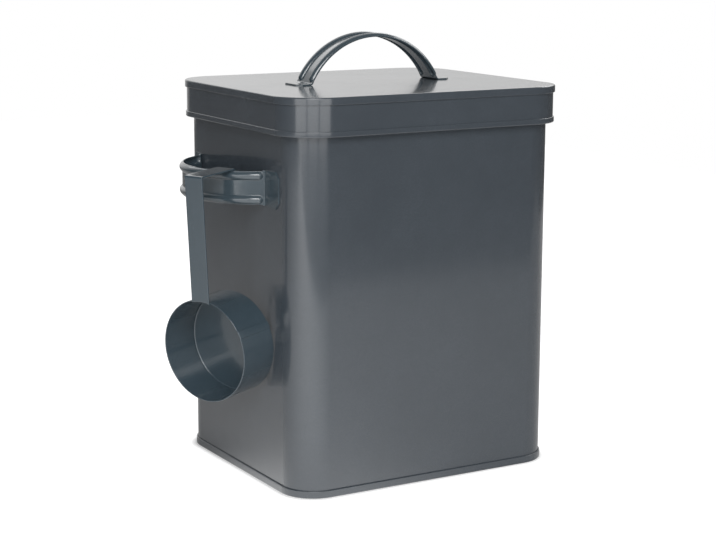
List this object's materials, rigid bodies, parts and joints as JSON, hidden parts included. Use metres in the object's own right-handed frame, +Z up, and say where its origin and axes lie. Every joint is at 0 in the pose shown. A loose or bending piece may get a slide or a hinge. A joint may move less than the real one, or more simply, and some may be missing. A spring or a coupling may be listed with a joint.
{
  "type": "storage canister",
  "caption": "Sheet metal storage canister with a deep lift-off lid, arched strap handles and a round scoop that hangs on a side handle.",
  "frame": {"origin": "middle of the body's base, on the surface that the canister stands on", "axes": "+X to the right seen from the front, +Y from the front to the back, +Z up out of the mouth"},
  "size_m": [0.3315, 0.2094, 0.3386],
  "materials": {
    "coated_steel": "semi-gloss powder coat",
    "seal_rubber": "matt"
  },
  "bodies": {
    "canister": {"body_wall": "coated_steel", "base_panel": "coated_steel", "left_handle": "coated_steel", "right_handle": "coated_steel"},
    "lid": {"lid_panel": "coated_steel", "lid_skirt": "coated_steel", "lid_handle": "coated_steel", "lid_seal": "seal_rubber", "seal_retainer": "coated_steel"},
    "scoop": {"scoop_wall": "coated_steel", "scoop_base": "coated_steel", "scoop_handle": "coated_steel"}
  },
  "joints": [
    {"name": "lid_lift", "type": "slide", "parent": "canister", "child": "lid", "axis": [0, 0, 1], "range_m": [0, 0.08]},
    {"name": "scoop_lift", "type": "slide", "parent": "canister", "child": "scoop", "axis": [0, 0, 1], "range_m": [0, 0.06]}
  ]
}
